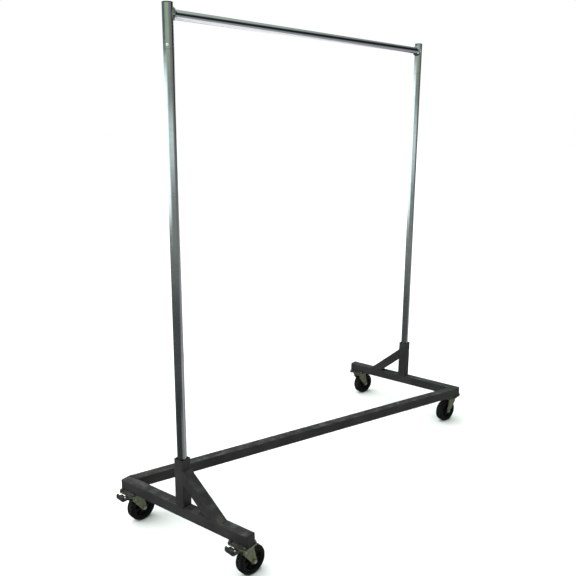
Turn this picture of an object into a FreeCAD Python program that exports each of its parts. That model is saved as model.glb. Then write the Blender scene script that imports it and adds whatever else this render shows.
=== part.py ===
"""Rolling clothes rack with a Z-shaped base, as a parametric FreeCAD model.

+X runs along the hang rail, -Y is the front, +Z is up and the origin is on the floor at the
centre of the base. The whole rack looks the same after half a turn about Z, apart from the
headings of the casters and the brakes, which are on the two left casters only.
"""
import FreeCAD, Part
import Sketcher
import os
import re

doc = FreeCAD.newDocument("ClothesRack")
Vector = FreeCAD.Vector

# ---------------------------------------------------------------- driving dimensions (mm, degrees)

SIZES = {
    # overall
    "overall_height": 1727,
    "upright_spacing": 1524,
    # square tube base
    "foot_length": 584,
    "foot_underside": 124,
    "tube_width": 38.1,
    "tube_wall": 2,
    "tube_corner": 2.5,
    "tube_inner_corner": 1.5,
    "bar_angle": 20.1,
    "stub_width": 33.4,
    "stub_corner": 1.5,
    "stub_inner_corner": 0.8,
    "stub_reach": 370,
    "screw_from_foot": 338,
    "screw_shank": 3,
    "screw_length": 8,
    "screw_head": 5.5,
    "screw_head_rise": 2.6,
    "screw_head_round": 2.2,
    "screw_clearance": 0.2,
    "socket_height": 168,
    "brace_rise": 132,
    "brace_run": 157,
    "brace_overrun": 10,
    "end_cap_head": 3,
    "end_cap_plug": 14,
    # round tube top
    "upright_radius": 15.875,
    "upright_wall": 1.6,
    "seam_height": 1600,
    "rail_radius": 14.3,
    "rail_wall": 1.5,
    "rail_drop": 32,
    "flare_length": 9,
    "flare_rise": 7,
    "flare_mid_length": 4,
    "flare_mid_rise": 1.3,
    "flare_root_length": 1.4,
    "flare_root_rise": 3.5,
    "flare_overlap": 5,
    "insert_radius": 14.1,
    "insert_wall": 2,
    "insert_half": 60,
    "post_cap_head": 3,
    "post_cap_plug": 14,
    "post_cap_round": 2,
    # snap buttons in the post joints
    "snap_height": 1612,
    "snap_turn": 32,
    "snap_radius": 4,
    "snap_proud": 4,
    "snap_flange_radius": 6,
    "snap_flange": 1.5,
    "snap_round": 2.4,
    "snap_clearance": 0.15,
    "snap_rest_gap": 0.4,
    # casters
    "swivel_inset": 36,
    "wheel_radius": 50.8,
    "tread_width": 32,
    "trail": 32,
    "mount_plate_length": 72,
    "mount_plate_width": 60,
    "mount_plate_thick": 2.8,
    "mount_plate_corner": 5,
    "caster_plate_length": 78,
    "caster_plate_width": 64,
    "caster_plate_thick": 4.4,
    "caster_plate_corner": 11,
    "bolt_across": 24.6,
    "bolt_along": 30,
    "bolt_radius": 3,
    "bolt_head_radius": 5.2,
    "bolt_head_rise": 3.2,
    "nut_radius": 5.7,
    "nut_rise": 5,
    "nut_turn": 30,
    "bolt_end": 1,
    "kingpin_radius": 5,
    "kingpin_head_radius": 9,
    "kingpin_head": 2.6,
    "kingpin_gap": 0.3,
    "ball_radius": 2.4,
    "ball_circle": 17,
    "ball_gap": 0.35,
    "race_inner": 10,
    "race_outer": 23,
    "crown_radius": 27,
    "crown_top": 107.2,
    "crown_thick": 2.6,
    "rim_rise": 3,
    "rim_thick": 2.5,
    "leg_outer": 21.1,
    "leg_inner": 18.6,
    "leg_back": 13,
    "leg_front": 31,
    "leg_back_height": 93,
    "leg_front_height": 97,
    "leg_end_radius": 9.5,
    "leg_gap_reach": 80,
    "axle_radius": 4,
    "axle_head_radius": 7.5,
    "axle_head": 5.3,
    "sleeve_radius": 6.3,
    "fit_gap": 0.06,
    "hub_radius": 14,
    "hub_half": 18.1,
    "hub_slope": 1.5,
    "web_half": 5,
    "rim_slope": 1,
    "rim_inner": 33,
    "rim_outer": 37,
    "rim_half": 13.5,
    "shoulder_radius": 6,
    # brake pedals
    "pedal_pivot_back": 3,
    "pedal_pivot_height": 96.5,
    "pedal_pin_radius": 2.5,
    "pedal_pin_head": 4.2,
    "pedal_pin_head_rise": 1.6,
    "pedal_boss_radius": 4.6,
    "pedal_tip": 57,
    "pedal_heel": 31,
    "pedal_top": 112.4,
    "pedal_thick": 3,
    "pedal_half": 20,
    "grip_root": 48.5,
    "grip_top": 123.2,
    "grip_shoulder_back": 53.5,
    "grip_shoulder_height": 117.5,
    "grip_low_height": 107,
    "grip_foot_back": 52,
    "grip_foot_height": 104,
    "lever_half": 13,
    "lever_lap": 2,
    "lever_heel_back": 31.5,
    "lever_heel_height": 101,
    "lever_knee_back": 17,
    "lever_knee_height": 94.5,
    "lever_bend_back": 12,
    "lever_bend_height": 100.6,
    "lever_neck_back": 27,
    "lever_neck_height": 103.6,
    "lever_rise_back": 30.3,
    "lever_rise_height": 107.5,
    "shoe_heel_back": 14,
    "shoe_heel_height": 87,
    "shoe_toe_back": 10,
    "shoe_toe_height": 84.5,
    "shoe_root_back": 7.5,
    "shoe_root_height": 92.5,
    "lever_eye_half": 4.3,
    # headings of the casters, each from the swivel axis towards its axle
    "heading_rear_left": -8,
    "heading_front_left": -10,
    "heading_rear_right": -15,
    "heading_front_right": 165,
}
BALL_COUNT = 16
SIDES = {"left": -1, "right": 1}
CASTERS = {
    "rear_left": (-1, 1),
    "front_left": (-1, -1),
    "rear_right": (1, 1),
    "front_right": (1, -1),
}
BRAKED = ("rear_left", "front_left")

QUARTER = 1.5707963267948966
NEAR = 0.01
ALONG_X = Vector(1, 0, 0)
ALONG_Y = Vector(0, 1, 0)
ALONG_Z = Vector(0, 0, 1)
FOOT_TOP = "(foot_underside + tube_width)"
INNER_WIDTH = "tube_width - 2 * tube_wall"
GRIP = "(mount_plate_thick + caster_plate_thick)"
PLATE_BOTTOM = "(foot_underside - mount_plate_thick - caster_plate_thick)"

sheet = doc.addObject("Spreadsheet::Sheet", "Sizes")
for row, (alias, value) in enumerate(SIZES.items(), start=1):
    cell = "A%d" % row
    sheet.set(cell, str(value))
    sheet.setAlias(cell, alias)
doc.recompute()

nodes = []


# ---------------------------------------------------------------- small helpers

def cells(formula):
    """Make an expression that reads the sheet out of a formula of plain names."""
    return re.sub(r"[a-z_]+", lambda found: "Sizes." + found[0] if found[0] in SIZES else found[0],
                  formula)


def amount(formula):
    """The number that a formula gives now."""
    result = sheet.evalExpression(cells(formula))
    return float(getattr(result, "Value", result))


def place(thing, x="0", y="0", z="0", turn=None):
    """Bind where an object stands, and its turn in degrees about the vertical."""
    for letter, formula in zip("xyz", (x, y, z)):
        thing.setExpression("Placement.Base." + letter, cells(formula))
    if turn is not None:
        spin(thing, turn)


def spin(thing, turn):
    """Bind an object's turn in degrees about the vertical through where it stands."""
    rotation = FreeCAD.Rotation(ALONG_Z, amount(turn))
    thing.Placement = FreeCAD.Placement(thing.Placement.Base, rotation)
    thing.setExpression("Placement.Rotation.Angle", cells(turn))


def keep(thing, label):
    """Name an object as a sub-part of the rack."""
    thing.Label = label
    nodes.append(thing)
    return thing


def new_body(name):
    return doc.addObject("PartDesign::Body", name)


def new_sketch(body, plane="XY_Plane", lift=None):
    """A sketch on one of the body's own origin planes, lifted along the plane's normal."""
    sketch = body.newObject("Sketcher::SketchObject", body.Name + "_sketch")
    support = next(item for item in body.Origin.OriginFeatures if item.Role == plane)
    sketch.AttachmentSupport = [(support, "")]
    sketch.MapMode = "FlatFace"
    if lift:
        sketch.setExpression("AttachmentOffset.Base.z", cells(lift))
    return sketch


def hold(sketch, kind, *where):
    """Add a dimension whose last argument is the formula that drives it."""
    *where, formula = where
    index = sketch.addConstraint(Sketcher.Constraint(kind, *where, amount(formula)))
    sketch.setExpression("Constraints[%d]" % index, cells(formula))


def pin(sketch, curve, point, x, y):
    """Hold a point of a curve at a position from the sketch's origin."""
    if x == "0":
        sketch.addConstraint(Sketcher.Constraint("PointOnObject", curve, point, -2))
    else:
        hold(sketch, "DistanceX", -1, 1, curve, point, x)
    if y == "0":
        sketch.addConstraint(Sketcher.Constraint("PointOnObject", curve, point, -1))
    else:
        hold(sketch, "DistanceY", -1, 1, curve, point, y)


def circle(sketch, radius, x="0", y="0"):
    centre = Vector(amount(x), amount(y), 0)
    curve = sketch.addGeometry(Part.Circle(centre, ALONG_Z, amount(radius)))
    if x == "0" and y == "0":
        sketch.addConstraint(Sketcher.Constraint("Coincident", curve, 3, -1, 1))
    else:
        pin(sketch, curve, 3, x, y)
    hold(sketch, "Radius", curve, radius)


def outline(sketch, points):
    """A closed outline of straight lines through corners given as formulas."""
    corners = [Vector(amount(x), amount(y), 0) for x, y in points]
    lines = [Part.LineSegment(corners[i - 1], corners[i]) for i in range(len(corners))]
    first = sketch.addGeometry(lines)[0]
    for i, (x, y) in enumerate(points):
        after = first + (i + 1) % len(points)
        sketch.addConstraint(Sketcher.Constraint("Coincident", first + i, 2, after, 1))
        pin(sketch, first + i, 2, x, y)


def rounded_rectangle(sketch, width, height, radius):
    """A rectangle about the sketch's origin with four equal rounded corners."""
    w, h, r = amount(width) / 2, amount(height) / 2, amount(radius)
    starts = [(-w + r, -h), (w, -h + r), (w - r, h), (-w, h - r)]
    ends = [(w - r, -h), (w, h - r), (-w + r, h), (-w, -h + r)]
    centres = [(w - r, -h + r), (w - r, h - r), (-w + r, h - r), (-w + r, -h + r)]
    lines = []
    arcs = []
    for i in range(4):
        straight = Part.LineSegment(Vector(*starts[i], 0), Vector(*ends[i], 0))
        lines.append(sketch.addGeometry(straight))
    for i in range(4):
        bend = Part.Circle(Vector(*centres[i], 0), ALONG_Z, r)
        quarter = Part.ArcOfCircle(bend, (i - 1) * QUARTER, i * QUARTER)
        arcs.append(sketch.addGeometry(quarter))
    for i in range(4):
        sketch.addConstraint(Sketcher.Constraint("Tangent", lines[i], 2, arcs[i], 1))
        sketch.addConstraint(Sketcher.Constraint("Tangent", arcs[i], 2, lines[(i + 1) % 4], 1))
        sketch.addConstraint(Sketcher.Constraint("Vertical" if i % 2 else "Horizontal", lines[i]))
    for i in range(3):
        sketch.addConstraint(Sketcher.Constraint("Equal", arcs[0], arcs[i + 1]))
    sketch.addConstraint(Sketcher.Constraint("Symmetric", lines[0], 1, lines[2], 1, -1, 1))
    hold(sketch, "DistanceX", lines[3], 1, lines[1], 1, width)
    hold(sketch, "DistanceY", lines[0], 1, lines[2], 1, height)
    hold(sketch, "Radius", arcs[0], radius)


def extrude(body, sketch, kind, length=None, middle=False, back=False):
    """Pad or pocket a sketch; no length means through everything."""
    feature = body.newObject("PartDesign::" + kind, body.Name + "_" + kind.lower())
    feature.Profile = sketch
    if length is None:
        feature.Type = "ThroughAll"
    else:
        feature.setExpression("Length", cells(length))
    if middle:
        feature.SideType = "Symmetric"
    feature.Reversed = back
    return feature


def pad(body, sketch, length, middle=False, back=False):
    return extrude(body, sketch, "Pad", length, middle, back)


def pocket(body, sketch, length=None, middle=False, back=False):
    """Cut a sketch out of a body, and stop if nothing was cut."""
    doc.recompute()
    before = body.Shape.Volume
    feature = extrude(body, sketch, "Pocket", length, middle, back)
    doc.recompute()
    if body.Shape.Volume >= before - NEAR:
        raise ValueError(body.Name + ": the pocket cuts nothing")
    return feature


def revolve(body, sketch, axis="V_Axis"):
    feature = body.newObject("PartDesign::Revolution", body.Name + "_revolution")
    feature.Profile = sketch
    feature.ReferenceAxis = (sketch, [axis])
    feature.Angle = 360
    return feature


def round_edges(body, radius, chosen):
    """Fillet the edges of a body's tip for which chosen(edge) is true."""
    doc.recompute()
    base = body.Tip
    names = ["Edge%d" % n for n, edge in enumerate(base.Shape.Edges, start=1) if chosen(edge)]
    feature = body.newObject("PartDesign::Fillet", body.Name + "_fillet")
    feature.Base = (base, names)
    feature.setExpression("Radius", cells(radius))
    return feature


def runs_along(direction):
    """A test for straight edges that run along a direction."""
    def test(edge):
        if edge.Curve.TypeId != "Part::GeomLine":
            return False
        return edge.Curve.Direction.cross(direction).Length < NEAR
    return test


def rings(radius, axis, height):
    """A test for round edges of a radius at a height along an axis."""
    def test(edge):
        if edge.Curve.TypeId != "Part::GeomCircle":
            return False
        return (abs(edge.Curve.Radius - amount(radius)) < NEAR
                and abs(edge.Curve.Center.dot(axis) - amount(height)) < NEAR)
    return test


def beyond(axis, height):
    """A test for edges that lie wholly past a height along an axis."""
    def test(edge):
        return all(point.Point.dot(axis) > amount(height) - NEAR for point in edge.Vertexes)
    return test


def cylinder(radius, height, z="0"):
    solid = doc.addObject("Part::Cylinder", "cylinder")
    solid.setExpression("Radius", cells(radius))
    solid.setExpression("Height", cells(height))
    place(solid, z=z)
    return solid


def fuse(name, shapes):
    joined = doc.addObject("Part::MultiFuse", name)
    joined.Shapes = shapes
    return joined


def gather(label, things):
    """Keep several separate solids together in one node."""
    group = doc.addObject("Part::Compound", label)
    group.Links = things
    return keep(group, label)


# ---------------------------------------------------------------- square tube base

def foot_tube(side):
    """A level square tube under each upright, running front to rear."""
    body = new_body(side + "_foot_tube")
    section = new_sketch(body, "XZ_Plane")
    rounded_rectangle(section, "tube_width", "tube_width", "tube_corner")
    rounded_rectangle(section, INNER_WIDTH, INNER_WIDTH, "tube_inner_corner")
    pad(body, section, "foot_length - 2 * end_cap_head", middle=True)
    place(body, x="%d * upright_spacing / 2" % SIDES[side], z="foot_underside + tube_width / 2")
    keep(body, side + "_foot_tube")


def foot_end_caps():
    """Plastic caps with a plug behind the head, one in each open end of the two feet."""
    caps = []
    for side, across in SIDES.items():
        for along in (-1, 1):
            body = new_body("foot_end_cap")
            head = new_sketch(body, "XZ_Plane")
            rounded_rectangle(head, "tube_width", "tube_width", "tube_corner")
            pad(body, head, "end_cap_head")
            round_edges(body, "end_cap_head / 2", beyond(-ALONG_Y, "end_cap_head"))
            plug = new_sketch(body, "XZ_Plane")
            rounded_rectangle(plug, INNER_WIDTH, INNER_WIDTH, "tube_inner_corner")
            pad(body, plug, "end_cap_plug", back=True)
            place(body, x="%d * upright_spacing / 2" % across,
                  y="%d * (foot_length / 2 - end_cap_head)" % along,
                  z="foot_underside + tube_width / 2", turn="90 + %d * 90" % along)
            caps.append(body)
    gather("foot_end_caps", caps)


def socket_tube(side):
    """A short upright square tube welded on the foot, which takes the round upright."""
    body = new_body(side + "_socket_tube")
    section = new_sketch(body)
    rounded_rectangle(section, "tube_width", "tube_width", "tube_corner")
    rounded_rectangle(section, INNER_WIDTH, INNER_WIDTH, "tube_inner_corner")
    pad(body, section, "socket_height")
    place(body, x="%d * upright_spacing / 2" % SIDES[side], z=FOOT_TOP)
    keep(body, side + "_socket_tube")


def brace(side):
    """A slanted square tube from the socket down to the foot, open inside."""
    body = new_body(side + "_brace")
    slope = "brace_rise / brace_run"
    drop = "tube_width * sqrt(1 + (%s) ^ 2)" % slope
    heel = "(brace_run - (%s) / (%s))" % (drop, slope)
    profile = new_sketch(body, "YZ_Plane")
    outline(profile, [("tube_width / 2", "brace_rise"),
                      ("tube_width / 2 + brace_run", "0"),
                      ("tube_width / 2 + " + heel, "0"),
                      ("tube_width / 2", "brace_rise - " + drop)])
    pad(body, profile, "tube_width", middle=True)
    slanted = Vector(0, amount("brace_run"), -amount("brace_rise")).normalize()
    round_edges(body, "tube_corner", runs_along(slanted))
    wall = "tube_wall * sqrt(1 + (%s) ^ 2)" % slope
    inside = new_sketch(body, "YZ_Plane")
    high = "brace_rise + brace_overrun * %s" % slope
    low = "-brace_overrun * %s" % slope
    start = "tube_width / 2 - brace_overrun"
    end = "tube_width / 2 + brace_run + brace_overrun"
    outline(inside, [(start, "%s - %s" % (high, wall)), (end, "%s - %s" % (low, wall)),
                     (end, "%s - %s + %s" % (low, drop, wall)),
                     (start, "%s - %s + %s" % (high, drop, wall))])
    pocket(body, inside, INNER_WIDTH, middle=True)
    place(body, x="%d * upright_spacing / 2" % SIDES[side], z=FOOT_TOP,
          turn="90 - %d * 90" % SIDES[side])
    keep(body, side + "_brace")


def screw_spot(across):
    """How far along the diagonal a screw stands from the middle."""
    return "%d * ((upright_spacing - tube_width) / 2 / cos(bar_angle) - screw_from_foot)" % across


def slanted_tube(name, width, corner, inner_corner, near, far, screws):
    """A level square tube along the base's diagonal, with screw holes in its top wall.

    near and far give the tube's ends at a sideways y, and screws lists the ends that have a screw.
    """
    body = new_body(name)
    plan = new_sketch(body, "XY_Plane", lift="-(%s) / 2" % width)
    side = "(%s) / 2" % width
    outline(plan, [(near("-" + side), "-" + side), (far("-" + side), "-" + side),
                   (far(side), side), (near(side), side)])
    pad(body, plan, width)
    round_edges(body, corner, runs_along(ALONG_X))
    inside = new_sketch(body, "YZ_Plane")
    hollow = width + " - 2 * tube_wall"
    rounded_rectangle(inside, hollow, hollow, inner_corner)
    pocket(body, inside, middle=True)
    holes = new_sketch(body)
    for across in screws:
        circle(holes, "screw_shank + screw_clearance", x=screw_spot(across))
    pocket(body, holes, back=True)
    place(body, z="foot_underside + tube_width / 2", turn="-bar_angle")
    keep(body, name)


def foot_face(across):
    """Where the diagonal meets the inner face of a foot, as a function of the sideways y."""
    def end(y):
        reach = "(upright_spacing - tube_width) / 2 / cos(bar_angle)"
        return "%d * %s - (%s) * tan(bar_angle)" % (across, reach, y)
    return end


def base_bar():
    """The long diagonal of the Z, mitred against the feet's inner faces."""
    slanted_tube("base_bar", "tube_width", "tube_corner", "tube_inner_corner",
                 foot_face(-1), foot_face(1), (-1, 1))


def bar_stub(side):
    """A smaller square tube welded to the foot, inside the end of the long bar."""
    across = SIDES[side]
    tip = "%d * ((upright_spacing - tube_width) / 2 / cos(bar_angle) - stub_reach)" % across
    ends = [lambda y: tip, foot_face(across)]
    if across < 0:
        ends.reverse()
    slanted_tube(side + "_bar_stub", "stub_width", "stub_corner", "stub_inner_corner", *ends,
                 (across,))


def base_bar_screws():
    """Two domed screws down through the long bar into the stubs."""
    screws = []
    for across in SIDES.values():
        body = new_body("bar_screw")
        profile = new_sketch(body, "XZ_Plane")
        outline(profile, [("0", "-screw_length"), ("screw_shank", "-screw_length"),
                          ("screw_shank", "0"), ("screw_head", "0"),
                          ("screw_head", "screw_head_rise"), ("0", "screw_head_rise")])
        revolve(body, profile)
        round_edges(body, "screw_head_round", rings("screw_head", ALONG_Z, "screw_head_rise"))
        spot = screw_spot(across)
        place(body, x="%s * cos(bar_angle)" % spot, y="-(%s) * sin(bar_angle)" % spot, z=FOOT_TOP)
        screws.append(body)
    gather("base_bar_screws", screws)


# ---------------------------------------------------------------- round tube top

def round_tube(name, radius, wall, bottom, top, side):
    """An upright round tube at one end of the rack."""
    body = new_body(name)
    section = new_sketch(body)
    circle(section, radius)
    circle(section, "%s - %s" % (radius, wall))
    pad(body, section, "%s - (%s)" % (top, bottom))
    place(body, x="%d * upright_spacing / 2" % SIDES[side], z=bottom)
    return body


def upright(side):
    """The tall tube that stands in the socket on the foot."""
    name = side + "_upright"
    keep(round_tube(name, "upright_radius", "upright_wall", FOOT_TOP, "seam_height", side), name)


def button_hole(body, side, above_bottom):
    """A round hole for the snap button through the outward wall, and the tube's turn to face it."""
    hole = new_sketch(body, "YZ_Plane")
    circle(hole, "snap_radius + snap_clearance", y=above_bottom)
    pocket(body, hole, back=SIDES[side] > 0)
    spin(body, "snap_turn")


def rail_post(side):
    """The short tube at each end of the rail that stands on the upright."""
    body = round_tube(side + "_rail_post", "upright_radius", "upright_wall", "seam_height",
                      "(overall_height - post_cap_head)", side)
    button_hole(body, side, "snap_height - seam_height")
    keep(body, side + "_rail_post")


def joint_inserts():
    """Inner tubes that join each post to its upright and carry the snap button."""
    inserts = []
    for side in SIDES:
        body = round_tube(side + "_insert", "insert_radius", "insert_wall",
                          "seam_height - insert_half", "(seam_height + insert_half)", side)
        button_hole(body, side, "snap_height - seam_height + insert_half")
        inserts.append(body)
    gather("joint_inserts", inserts)


def post_caps():
    """Plastic caps that close the tops of the posts."""
    caps = []
    for across in SIDES.values():
        body = new_body("post_cap")
        profile = new_sketch(body, "XZ_Plane")
        plug = "upright_radius - upright_wall"
        outline(profile, [("0", "-post_cap_plug"), (plug, "-post_cap_plug"), (plug, "0"),
                          ("upright_radius", "0"), ("upright_radius", "post_cap_head"),
                          ("0", "post_cap_head")])
        revolve(body, profile)
        round_edges(body, "post_cap_round", rings("upright_radius", ALONG_Z, "post_cap_head"))
        place(body, x="%d * upright_spacing / 2" % across, z="overall_height - post_cap_head")
        caps.append(body)
    gather("post_caps", caps)


def hang_rail():
    """The round rail, coped at both ends to sit against the posts."""
    body = new_body("hang_rail")
    section = new_sketch(body, "YZ_Plane")
    circle(section, "rail_radius")
    circle(section, "rail_radius - rail_wall")
    pad(body, section, "upright_spacing", middle=True)
    for across in SIDES.values():
        cope = new_sketch(body)
        circle(cope, "upright_radius", x="%d * upright_spacing / 2" % across)
        pocket(body, cope, middle=True)
    place(body, z="overall_height - rail_drop")
    keep(body, "hang_rail")


def rail_end_flares():
    """Flared collars where the rail is joined to the posts."""
    flares = []
    for across in SIDES.values():
        body = new_body("rail_end_flare")
        profile = new_sketch(body, "XZ_Plane")
        outline(profile, [("upright_radius - flare_overlap", "rail_radius"),
                          ("upright_radius + flare_length", "rail_radius"),
                          ("upright_radius + flare_mid_length", "rail_radius + flare_mid_rise"),
                          ("upright_radius + flare_root_length", "rail_radius + flare_root_rise"),
                          ("upright_radius", "rail_radius + flare_rise"),
                          ("upright_radius - flare_overlap", "rail_radius + flare_rise")])
        revolve(body, profile, "H_Axis")
        doc.recompute()
        bore = new_sketch(body)
        circle(bore, "upright_radius")
        pocket(body, bore, middle=True)
        place(body, x="%d * upright_spacing / 2" % across, z="overall_height - rail_drop",
              turn="90 + %d * 90" % across)
        flares.append(body)
    gather("rail_end_flares", flares)


def snap_button(side):
    """A domed button that springs out of the post; its flange stays inside the insert."""
    body = new_body(side + "_snap_button")
    profile = new_sketch(body)
    seat = "sqrt((insert_radius - insert_wall) ^ 2 - snap_flange_radius ^ 2) - snap_rest_gap"
    tip = "upright_radius + snap_proud"
    outline(profile, [(seat + " - snap_flange", "0"), (seat + " - snap_flange", "snap_flange_radius"),
                      (seat, "snap_flange_radius"), (seat, "snap_radius"),
                      (tip, "snap_radius"), (tip, "0")])
    revolve(body, profile, "H_Axis")
    round_edges(body, "snap_round", rings("snap_radius", ALONG_X, tip))
    place(body, x="%d * upright_spacing / 2" % SIDES[side], z="snap_height",
          turn="snap_turn + %d * 90" % (1 - SIDES[side]))
    keep(body, side + "_snap_button")


# ---------------------------------------------------------------- casters

def stand(thing, name):
    """Put something built about a caster's swivel axis where that caster is."""
    across, along = CASTERS[name]
    place(thing, x="%d * upright_spacing / 2" % across,
          y="%d * (foot_length / 2 - swivel_inset)" % along, turn="heading_" + name)


def stand_square(thing, name, z):
    """Put a fixed plate or bolt at a caster's swivel axis, square with the foot."""
    across, along = CASTERS[name]
    place(thing, x="%d * upright_spacing / 2" % across,
          y="%d * (foot_length / 2 - swivel_inset)" % along, z=z)


def bolt_holes(body):
    holes = new_sketch(body)
    for across in (-1, 1):
        for along in (-1, 1):
            circle(holes, "bolt_radius", "%d * bolt_across" % across, "%d * bolt_along" % along)
    pocket(body, holes, middle=True)


def mount_plates():
    """Black plates welded under the ends of the feet, wider than the tube."""
    plates = []
    for name in CASTERS:
        body = new_body("mount_plate")
        shape = new_sketch(body)
        rounded_rectangle(shape, "mount_plate_width", "mount_plate_length", "mount_plate_corner")
        pad(body, shape, "mount_plate_thick")
        bolt_holes(body)
        stand_square(body, name, "foot_underside - mount_plate_thick")
        plates.append(body)
    gather("caster_mount_plates", plates)


def plate_bolt(with_nut):
    """A bolt that stands on its head; one with no nut ends level with the plates' top."""
    head = cylinder("bolt_head_radius", "bolt_head_rise")
    if not with_nut:
        return fuse("plate_bolt", [head, cylinder("bolt_radius", GRIP, "bolt_head_rise")])
    shank = cylinder("bolt_radius", GRIP + " + nut_rise + bolt_end", "bolt_head_rise")
    nut = doc.addObject("Part::Prism", "nut")
    nut.Polygon = 6
    nut.setExpression("Circumradius", cells("nut_radius"))
    nut.setExpression("Height", cells("nut_rise"))
    place(nut, z="bolt_head_rise + " + GRIP, turn="nut_turn")
    return fuse("plate_bolt", [head, shank, nut])


def plate_bolts():
    """Four bolts through each pair of plates; one under the long bar's end has no nut."""
    bolts = []
    for name, (across, along) in CASTERS.items():
        for x in (-1, 1):
            for y in (-1, 1):
                under_bar = across != along and (x, y) == (-across, along)
                bolt = plate_bolt(not under_bar)
                place(bolt, x="%d * upright_spacing / 2 + %d * bolt_across" % (across, x),
                      y="%d * (foot_length / 2 - swivel_inset) + %d * bolt_along" % (along, y),
                      z="foot_underside - %s - bolt_head_rise" % GRIP)
                bolts.append(bolt)
    gather("caster_plate_bolts", bolts)


def caster_plate(name):
    """The caster's own plated top plate, with the upper ball race pressed below it."""
    body = new_body(name + "_plate")
    shape = new_sketch(body)
    rounded_rectangle(shape, "caster_plate_width", "caster_plate_length", "caster_plate_corner")
    pad(body, shape, "caster_plate_thick")
    race = new_sketch(body)
    circle(race, "race_outer")
    circle(race, "race_inner")
    pad(body, race, "%s - crown_top - 2 * ball_radius - ball_gap" % PLATE_BOTTOM, back=True)
    centre = new_sketch(body)
    circle(centre, "kingpin_radius")
    pocket(body, centre, middle=True)
    bolt_holes(body)
    stand_square(body, name, PLATE_BOTTOM)
    keep(body, name + "_plate")


def kingpin(name):
    """The rivet that holds the fork to the plate; the fork turns on it."""
    top = "foot_underside - mount_plate_thick"
    under = "(crown_top - crown_thick - kingpin_gap)"
    shank = cylinder("kingpin_radius", "%s - %s" % (top, under), under)
    head = cylinder("kingpin_head_radius", "kingpin_head", under + " - kingpin_head")
    rivet = fuse(name + "_kingpin", [shank, head])
    stand(rivet, name)
    keep(rivet, name + "_kingpin")


def bearing_balls(name):
    """A ring of steel balls on the fork's crown."""
    balls = []
    for number in range(BALL_COUNT):
        ball = doc.addObject("Part::Sphere", "ball")
        ball.setExpression("Radius", cells("ball_radius"))
        turn = "360 * %d / %d" % (number, BALL_COUNT)
        place(ball, x="ball_circle * cos(%s)" % turn, y="ball_circle * sin(%s)" % turn,
              z="crown_top + ball_radius")
        balls.append(ball)
    ring = gather(name + "_bearing_balls", balls)
    stand(ring, name)


def leg_outline(sketch):
    """The fork seen from the side: a wide top that narrows to a round end at the axle."""
    top = amount("crown_top")
    end = Vector(amount("trail"), amount("wheel_radius"), 0)
    radius = amount("leg_end_radius")
    corners = [Vector(-amount("leg_back"), amount("leg_back_height"), 0),
               Vector(-amount("leg_back"), top, 0), Vector(amount("leg_front"), top, 0),
               Vector(amount("leg_front"), amount("leg_front_height"), 0)]
    low = Part.ArcOfCircle(Part.Circle(end, ALONG_Z, radius), -1.5 * QUARTER, 0)
    path = [low.StartPoint] + corners + [low.EndPoint]
    lines = [sketch.addGeometry(Part.LineSegment(path[i], path[i + 1])) for i in range(5)]
    arc = sketch.addGeometry(low)
    for i in range(4):
        sketch.addConstraint(Sketcher.Constraint("Coincident", lines[i], 2, lines[i + 1], 1))
    sketch.addConstraint(Sketcher.Constraint("Tangent", lines[4], 2, arc, 2))
    sketch.addConstraint(Sketcher.Constraint("Tangent", arc, 1, lines[0], 1))
    pin(sketch, lines[0], 2, "-leg_back", "leg_back_height")
    pin(sketch, lines[1], 2, "-leg_back", "crown_top")
    pin(sketch, lines[2], 2, "leg_front", "crown_top")
    pin(sketch, lines[3], 2, "leg_front", "leg_front_height")
    pin(sketch, arc, 3, "trail", "wheel_radius")
    hold(sketch, "Radius", arc, "leg_end_radius")


def fork(name):
    """Two pressed legs under a round crown, with a rim that shields the balls."""
    body = new_body(name + "_fork")
    side = new_sketch(body, "XZ_Plane")
    leg_outline(side)
    pad(body, side, "2 * leg_outer", middle=True)
    gap = new_sketch(body, "XZ_Plane")
    low = "crown_top - crown_thick"
    outline(gap, [("-leg_gap_reach", "0"), ("leg_gap_reach", "0"), ("leg_gap_reach", low),
                  ("-leg_gap_reach", low)])
    pocket(body, gap, "2 * leg_inner", middle=True)
    crown = new_sketch(body, lift="crown_top")
    circle(crown, "crown_radius")
    pad(body, crown, "crown_thick", back=True)
    rim = new_sketch(body, lift="crown_top")
    circle(rim, "crown_radius")
    circle(rim, "crown_radius - rim_thick")
    pad(body, rim, "rim_rise")
    bore = new_sketch(body, lift="crown_top")
    circle(bore, "kingpin_radius + fit_gap")
    pocket(body, bore, "2 * crown_thick")
    pins = new_sketch(body, "XZ_Plane")
    circle(pins, "axle_radius", "trail", "wheel_radius")
    if name in BRAKED:
        circle(pins, "pedal_pin_radius", "-pedal_pivot_back", "pedal_pivot_height")
    pocket(body, pins, middle=True)
    stand(body, name)
    keep(body, name + "_fork")


def at_axle(thing, name, forward="trail", height="wheel_radius"):
    """Put something built along its own Y at a caster's axle, or at another cross pin."""
    across, along = CASTERS[name]
    heading = "heading_" + name
    place(thing, x="%d * upright_spacing / 2 + (%s) * cos(%s)" % (across, forward, heading),
          y="%d * (foot_length / 2 - swivel_inset) + (%s) * sin(%s)" % (along, forward, heading),
          z=height, turn=heading)


def cross_pin(name, label, radius, head_radius, head, forward, height):
    """A pin across the fork with a head outside each leg."""
    body = new_body(label)
    profile = new_sketch(body)
    outside = "leg_outer + " + head
    outline(profile, [("0", "-(%s)" % outside), (head_radius, "-(%s)" % outside),
                      (head_radius, "-leg_outer"), (radius, "-leg_outer"), (radius, "leg_outer"),
                      (head_radius, "leg_outer"), (head_radius, outside), ("0", outside)])
    revolve(body, profile)
    at_axle(body, name, forward, height)
    keep(body, label)


def axle(name):
    """The bolt across the fork that carries the wheel."""
    cross_pin(name, name + "_axle", "axle_radius", "axle_head_radius", "axle_head",
              "trail", "wheel_radius")


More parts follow.
